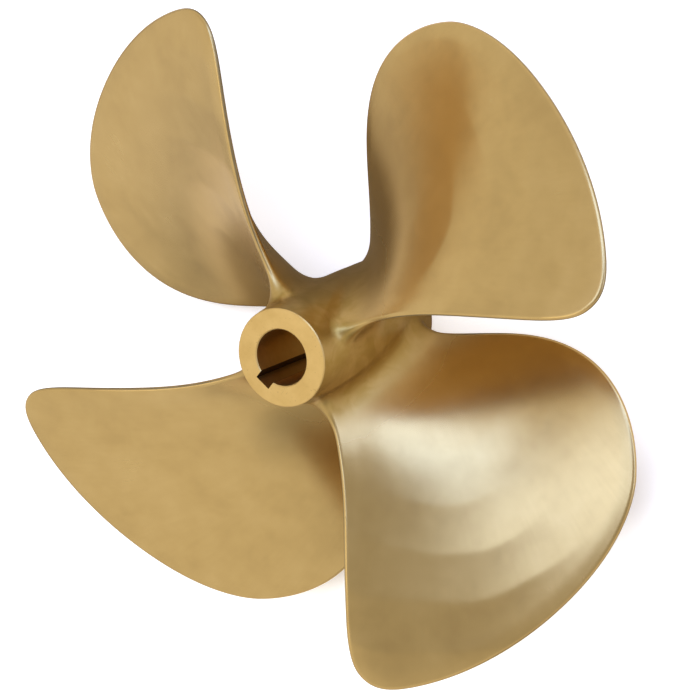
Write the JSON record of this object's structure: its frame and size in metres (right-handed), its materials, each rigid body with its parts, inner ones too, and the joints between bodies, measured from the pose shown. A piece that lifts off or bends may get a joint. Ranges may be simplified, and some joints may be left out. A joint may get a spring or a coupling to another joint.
{
  "type": "ship propeller",
  "caption": "Fixed-pitch left-hand ship propeller: broad helical blades with smooth root fillets on a tapering hub with a tapered, keyed shaft bore.",
  "frame": {"origin": "on the shaft axis, in the plane of the forward hub face", "axes": "+Z along the shaft axis towards the stern, +X along the first blade, +Y through the keyway"},
  "size_m": [0.6568, 0.6568, 0.1868],
  "materials": {
    "bronze": "satin, machined hub face, ground blades"
  },
  "bodies": {
    "root": {"propeller": "bronze"}
  },
  "joints": []
}
